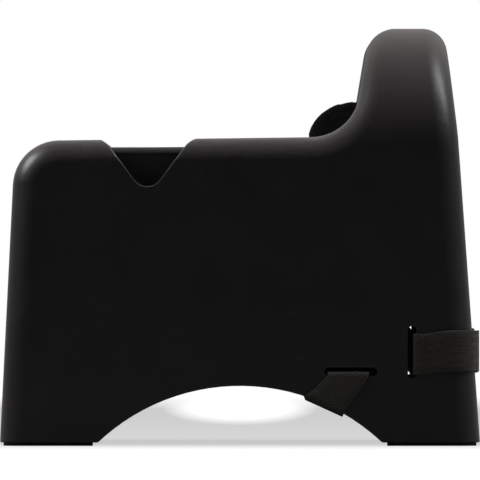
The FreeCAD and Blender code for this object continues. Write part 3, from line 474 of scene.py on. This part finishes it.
def strap_rings(node):
    """The sections of a CAD strap, each of four corners, walked from one cut end to the other."""
    mesh = bmesh.new()
    mesh.from_mesh(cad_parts[node].data)
    bmesh.ops.remove_doubles(mesh, verts=mesh.verts, dist=MERGE)
    ring = cut_end(mesh)
    seen, rings = set(ring), []
    while ring:
        rings.append([corner.co.copy() for corner in ring])
        ring = {edge.other_vert(corner) for corner in ring for edge in corner.link_edges} - seen
        seen |= ring
    mesh.free()
    return rings


def edge_pair(ring, before):
    """The two edges of a strap at a section, in the same order as at the section before."""
    first = ring[0]
    others = sorted(ring[1:], key=lambda corner: (corner - first).length)
    pair = ((first + others[0]) / 2, (others[1] + others[2]) / 2)
    if before and (pair[1] - pair[0]).dot(before[1] - before[0]) < 0:
        pair = (pair[1], pair[0])
    return pair


def strap_edges(node, socket):
    """Both edges of a strap, section by section, from its socket to its tail."""
    pairs = []
    for ring in strap_rings(node):
        pairs.append(edge_pair(ring, pairs[-1] if pairs else None))
    low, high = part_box(socket)
    centre = (low + high) / 2
    if (sum(pairs[0], Vector()) / 2 - centre).length > (sum(pairs[-1], Vector()) / 2 - centre).length:
        pairs.reverse()
    return pairs


def run_tangents(points):
    """A direction per unit of length at each point, which keeps long straight runs straight."""
    much_longer, much_shorter = 2.5, 0.4
    steps = [b - a for a, b in zip(points, points[1:])]
    tangents = [steps[0].normalized()]
    for before, after in zip(steps, steps[1:]):
        ratio = before.length / after.length
        if ratio > much_longer:
            tangents.append(before.normalized())
        elif ratio < much_shorter:
            tangents.append(after.normalized())
        else:
            weighted = before * (after.length / before.length) + after * (before.length / after.length)
            tangents.append(weighted / (before.length + after.length))
    return tangents + [steps[-1].normalized()]


def smooth_rows(pairs, spacing):
    """Closely spaced rows through the sections of a strap, with bends rounded."""
    middles = [(a + b) / 2 for a, b in pairs]
    halves = [(b - a) / 2 for a, b in pairs]
    tangents = run_tangents(middles)
    rows = []
    for i in range(len(pairs) - 1):
        length = (middles[i + 1] - middles[i]).length
        count = max(1, math.ceil(length / spacing))
        for k in range(count):
            t = k / count
            start, out = 2 * t ** 3 - 3 * t ** 2 + 1, (t ** 3 - 2 * t ** 2 + t) * length
            end, into = 3 * t ** 2 - 2 * t ** 3, (t ** 3 - t ** 2) * length
            middle = middles[i] * start + tangents[i] * out + middles[i + 1] * end + tangents[i + 1] * into
            half = halves[i].lerp(halves[i + 1], end)
            rows.append((middle, half.normalized() * halves[i].length))
    rows.append((middles[-1], halves[-1]))
    return rows


def lay_webbing(name, rows, start, thickness):
    """Webbing cut flat from a grid and laid row by row, with its weave's UV in metres from start."""
    columns = 6
    deselect()
    bpy.ops.mesh.primitive_grid_add(x_subdivisions=columns, y_subdivisions=len(rows) - 1, size=1)
    piece = bpy.context.object
    piece.name = piece.data.name = name
    mesh = piece.data
    along, before = start, rows[0][0]
    places = []
    for middle, half in rows:
        along += (middle - before).length
        before = middle
        for column in range(columns + 1):
            across = 2 * column / columns - 1
            mesh.vertices[len(places)].co = middle + half * across
            places.append((half.length * (1 + across), along))
    layer = mesh.uv_layers[0]
    layer.name = "weave"
    for loop in mesh.loops:
        layer.data[loop.index].uv = places[loop.vertex_index]
    apply_modifier(piece, "SOLIDIFY", thickness=thickness, offset=0.0)
    apply_modifier(piece, "BEVEL", width=thickness * 0.3, segments=2, limit_method="ANGLE",
                   angle_limit=math.radians(60), use_clamp_overlap=False)
    bpy.ops.object.shade_smooth_by_angle(angle=math.radians(50))
    return piece, along


def lay_strap(strap, split, material, settings):
    """A strap in two lengths that meet out of sight: one stays with the shell, the other is a separate piece
    left where it lies. The second starts where split is true.
    """
    pairs = strap_edges(f"{strap}_webbing", f"{strap}_buckle_socket")
    rows = smooth_rows(pairs, settings.row_spacing)
    cut = next(i for i, (middle, _) in enumerate(rows) if split(middle))
    fixed, along = lay_webbing(f"{strap}_strap_fixed_length", rows[:cut + 1], 0.0, settings.thickness)
    loose, _ = lay_webbing(f"{strap}_strap_loose_length", rows[cut:], along, settings.thickness)
    for piece in (fixed, loose):
        piece.data.materials.append(material)
        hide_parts(f"{strap}_webbing")
    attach(fixed, "shell")
    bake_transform(loose)


# ---- operators: one for each piece or group of like pieces, and one for the stage ----

class SEAT_OT_moulded_shell(bpy.types.Operator):
    """Finish the moulded shell: soften its trimmed edges and give it satin black plastic"""
    bl_idname = "seat.moulded_shell"
    bl_label = "Moulded shell"
    bl_options = {"REGISTER", "UNDO"}

    def execute(self, context):
        settings = context.scene.seat_moulding
        shell = merged_copy("seat_shell", "moulded_shell")
        for side in (-1, 1):
            cutter = crest_cutter(side, settings.crest_round)
            apply_modifier(shell, "BOOLEAN", object=cutter, operation="DIFFERENCE", solver="EXACT")
            bpy.data.objects.remove(cutter)
        round_edges(shell, settings.edge_round)
        shell.data.materials.append(moulded_plastic(
            "satin_black_shell", settings.colour, settings.roughness, settings.grain_pitch,
            depth=0.03 * MM, scuff_size=30 * MM))
        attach(shell, "shell")
        return {"FINISHED"}


class SEAT_OT_foot_pads(bpy.types.Operator):
    """Give the four foot pads their rubber"""
    bl_idname = "seat.foot_pads"
    bl_label = "Foot pads"
    bl_options = {"REGISTER", "UNDO"}

    def execute(self, context):
        rubber = pad_rubber("treaded_pad_rubber", context.scene.seat_fittings.rubber_colour)
        for node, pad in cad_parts.items():
            if node.endswith("_foot_pad"):
                pad.data.materials.clear()
                pad.data.materials.append(rubber)
        return {"FINISHED"}


class SEAT_OT_buckles(bpy.types.Operator):
    """Finish the three side-release buckles with softened edges"""
    bl_idname = "seat.buckles"
    bl_label = "Buckles"
    bl_options = {"REGISTER", "UNDO"}

    def execute(self, context):
        settings = context.scene.seat_fittings
        texture = {"pitch": 0.45 * MM, "scuff_size": 12 * MM}
        plastic = moulded_plastic("buckle_acetal", settings.buckle_colour, roughness=0.33,
                                  depth=0.012 * MM, **texture)
        tabs = moulded_plastic("release_tab_acetal", lighter(settings.buckle_colour, 1.15), roughness=0.38,
                               depth=0.015 * MM, **texture)
        for strap in STRAPS:
            parts = (("buckle_socket", "shell", plastic, "buckle_plastic"),
                     ("buckle_plug", f"{strap}_plug", plastic, "buckle_plastic"),
                     ("first_release_arm", f"{strap}_first_arm", tabs, "release_tab_plastic"),
                     ("second_release_arm", f"{strap}_second_arm", tabs, "release_tab_plastic"),
                     ("tail_keeper", f"{strap}_keeper", plastic, "buckle_plastic"))
            for part, body, material, slot in parts:
                piece = merged_copy(f"{strap}_{part}", f"{strap}_finished_{part}")
                round_edges(piece, settings.buckle_edge)
                piece.data.materials.append(material)
                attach(piece, body)
        return {"FINISHED"}


class SEAT_OT_waist_belt(bpy.types.Operator):
    """Lay the child's waist belt through the backrest and across the pan"""
    bl_idname = "seat.waist_belt"
    bl_label = "Waist belt"
    bl_options = {"REGISTER", "UNDO"}

    def execute(self, context):
        settings = context.scene.seat_webbing
        # Painted shade: the belt's near-black colour stands in partly for the shade on the belt loop.
        material = woven_webbing("belt_webbing", settings.belt_colour_with_painted_shade, 0.0, settings)
        behind_backrest, gives = 55 * MM, ((0, 0, 216 * MM), (0, 0, 124 * MM))
        lay_strap("waist", lambda place: place.y > behind_backrest, material, settings)
        return {"FINISHED"}


class SEAT_OT_chair_straps(bpy.types.Operator):
    """Lay the two straps that hold the seat to a chair"""
    bl_idname = "seat.chair_straps"
    bl_label = "Chair straps"
    bl_options = {"REGISTER", "UNDO"}

    def execute(self, context):
        settings = context.scene.seat_webbing
        material = woven_webbing("strap_webbing", settings.strap_colour, settings.sheen, settings)
        near_side, before_rear = 145 * MM, 140 * MM
        lay_strap("chair_back", lambda place: place.y > near_side and place.x < before_rear,
                  material, settings)
        at_wall, below_slot = 166.5 * MM, 45 * MM
        lay_strap("under_seat", lambda place: place.y > at_wall and place.z < below_slot,
                  material, settings)
        return {"FINISHED"}


def floor_shade(sheet):
    """0 on open floor, 1 in a painted soft shadow of the seat, which runs back on both sides of a painted
    pool of light.
    """
    place = sheet.add("ShaderNodeTexCoord").outputs["Object"]
    split = sheet.add("ShaderNodeSeparateXYZ", None, Vector=place)
    aside = sheet.ramp(sheet.math("ABSOLUTE", split.outputs["X"]), 0.22, 0.5, 1.0, 0.0)
    front = sheet.ramp(split.outputs["Y"], -0.5, -0.02)
    back = sheet.ramp(split.outputs["Y"], 2.4, 3.6, 1.0, 0.0)
    pool = sheet.add("ShaderNodeMapping", {"vector_type": "TEXTURE"}, Vector=place, Location=(0, 2.6, 0),
                     Scale=(0.062, 1.30, 1))
    reach = sheet.add("ShaderNodeVectorMath", {"operation": "LENGTH"})
    sheet.feed(pool.outputs[0], reach.inputs[0])
    outside_pool = sheet.ramp(reach.outputs["Value"], 0.72, 1.12)
    return sheet.math("MULTIPLY", sheet.math("MULTIPLY", aside, outside_pool), sheet.math("MULTIPLY", front, back))


def studio_floor(settings):
    """A pale floor. To the eye it glows as a lit sweep with a painted shadow of one light, even grey, and a
    painted pool of light.
    """
    deselect()
    bpy.ops.mesh.primitive_plane_add(size=settings.floor_size)
    floor = bpy.context.object
    floor.name = "studio_floor"
    material, sheet, shader = new_material("studio_white")
    shader.inputs["Roughness"].default_value = 0.9
    shader.inputs["Specular IOR Level"].default_value = 0.0
    seen = sheet.add("ShaderNodeLightPath").outputs["Is Camera Ray"]
    as_light, as_seen = (0.2, 0.2, 0.2), (0.06, 0.06, 0.06)
    sheet.feed(blended(sheet, seen, as_light, as_seen), shader.inputs["Base Color"])
    # Painted shadow: the camera sees the floor glow at 0.57 in the seat's shadow, and at full strength on
    # open floor and in the pool of light.
    open_floor, in_shadow = 1.0, 0.57
    lit = sheet.ramp(floor_shade(sheet), 0.0, 1.0, open_floor, in_shadow)
    glow = sheet.math("MULTIPLY", lit, seen)
    shade = sheet.add("ShaderNodeCombineColor", None, Red=glow, Green=glow, Blue=glow)
    sheet.feed(shade.outputs[0], shader.inputs["Emission Color"])
    shader.inputs["Emission Strength"].default_value = 1.0
    floor.data.materials.append(material)


def softbox(name, place, target, size, power, glossy=True):
    """A lamp unseen by the camera, turned to its target. Power is in watts."""
    light = bpy.data.lights.new(name, "AREA")
    light.shape = "RECTANGLE"
    light.size, light.size_y = size
    light.energy = power
    lamp = bpy.data.objects.new(name, light)
    bpy.context.scene.collection.objects.link(lamp)
    lamp.location = place
    lamp.rotation_euler = (Vector(target) - Vector(place)).to_track_quat("-Z", "Y").to_euler()
    lamp.visible_camera = False
    lamp.visible_glossy = glossy


def studio_world():
    """White to the eye. As a light it is bright behind and above, and dim in front."""
    world = bpy.data.worlds.new("studio_backdrop")
    bpy.context.scene.world = world
    world.use_nodes = True
    tree = world.node_tree
    tree.nodes.clear()
    sheet = NodeSheet(tree)
    direction = sheet.add("ShaderNodeTexCoord").outputs["Generated"]
    way = sheet.add("ShaderNodeSeparateXYZ", None, Vector=direction)
    height = sheet.math("MULTIPLY", way.outputs["Z"], 0.75)
    rise = sheet.math("ADD", height, sheet.math("MULTIPLY", way.outputs["Y"], 0.6))
    broad = sheet.ramp(rise, -0.35, 0.75, 0.010, 0.6)
    glow = sheet.math("ADD", broad, sheet.ramp(rise, 0.6, 0.95, 0.0, 0.45))
    seen = sheet.add("ShaderNodeBackground", None, Color=(1, 1, 1, 1), Strength=1.0)
    cast = sheet.add("ShaderNodeBackground", None, Color=(1.0, 0.945, 0.935, 1), Strength=glow)
    mix = sheet.add("ShaderNodeMixShader")
    sheet.feed(sheet.add("ShaderNodeLightPath").outputs["Is Camera Ray"], mix.inputs["Fac"])
    sheet.feed(cast.outputs[0], mix.inputs[1])
    sheet.feed(seen.outputs[0], mix.inputs[2])
    output = sheet.add("ShaderNodeOutputWorld")
    sheet.feed(mix.outputs[0], output.inputs["Surface"])


def studio_camera(settings):
    """A far camera square to the seat's right side, whose view is as wide as asked at that side."""
    data = bpy.data.cameras.new("studio_camera")
    near_side = CAD_BOX[0][1]
    data.lens = data.sensor_width * (settings.camera_distance + near_side) / settings.view_width
    data.clip_end = settings.camera_distance * 4
    camera = bpy.data.objects.new("studio_camera", data)
    bpy.context.scene.collection.objects.link(camera)
    camera.location = (0, -settings.camera_distance, settings.eye_height)
    camera.rotation_euler = (math.radians(90), 0, 0)
    bpy.context.scene.camera = camera


class SEAT_OT_studio(bpy.types.Operator):
    """Add the floor, the backdrop, the softboxes and the camera"""
    bl_idname = "seat.studio"
    bl_label = "Studio"
    bl_options = {"REGISTER", "UNDO"}

    def execute(self, context):
        settings = context.scene.seat_studio
        context.scene.view_settings.view_transform = "Standard"
        studio_floor(settings)
        studio_world()
        studio_camera(settings)
        front_corner, crown = (-0.155, -0.155, 0.2), (0.13, 0, 0.25)
        softbox("overhead_softbox", (0.0, 0.1, 1.6), (0, 0, 0.1), (1.5, 1.5), 26, glossy=False)
        softbox("corner_softbox", (-0.44, -0.17, 0.46), front_corner, (0.16, 0.16), 1.35)
        softbox("rear_softbox", (1.1, -0.12, 1.35), crown, (0.4, 0.8), 11.5)
        return {"FINISHED"}


class SEAT_PT_booster(bpy.types.Panel):
    """The seat's pieces and settings"""
    bl_label = "Booster Seat"
    bl_idname = "SEAT_PT_booster"
    bl_space_type = "VIEW_3D"
    bl_region_type = "UI"
    bl_category = "Booster Seat"

    def draw(self, context):
        for operator, group in STEPS:
            box = self.layout.box()
            box.operator(operator.bl_idname)
            settings = getattr(context.scene, group)
            for name in settings.__annotations__:
                box.prop(settings, name)


STEPS = (
    (SEAT_OT_moulded_shell, "seat_moulding"),
    (SEAT_OT_foot_pads, "seat_fittings"),
    (SEAT_OT_buckles, "seat_fittings"),
    (SEAT_OT_waist_belt, "seat_webbing"),
    (SEAT_OT_chair_straps, "seat_webbing"),
    (SEAT_OT_studio, "seat_studio"),
)
GROUPS = (
    ("seat_moulding", MouldingSettings),
    ("seat_webbing", WebbingSettings),
    ("seat_fittings", FittingSettings),
    ("seat_studio", StudioSettings),
)


def register():
    for name, group in GROUPS:
        bpy.utils.register_class(group)
        setattr(bpy.types.Scene, name, bpy.props.PointerProperty(type=group))
    for operator, _ in STEPS:
        bpy.utils.register_class(operator)
    bpy.utils.register_class(SEAT_PT_booster)


def unregister():
    bpy.utils.unregister_class(SEAT_PT_booster)
    for operator, _ in reversed(STEPS):
        bpy.utils.unregister_class(operator)
    for name, group in reversed(GROUPS):
        delattr(bpy.types.Scene, name)
        bpy.utils.unregister_class(group)


def main():
    register()
    bpy.ops.seat.moulded_shell()
    bpy.ops.seat.foot_pads()
    bpy.ops.seat.buckles()
    bpy.ops.seat.waist_belt()
    bpy.ops.seat.chair_straps()
    bpy.ops.seat.studio()


if __name__ == "__main__":
    main()
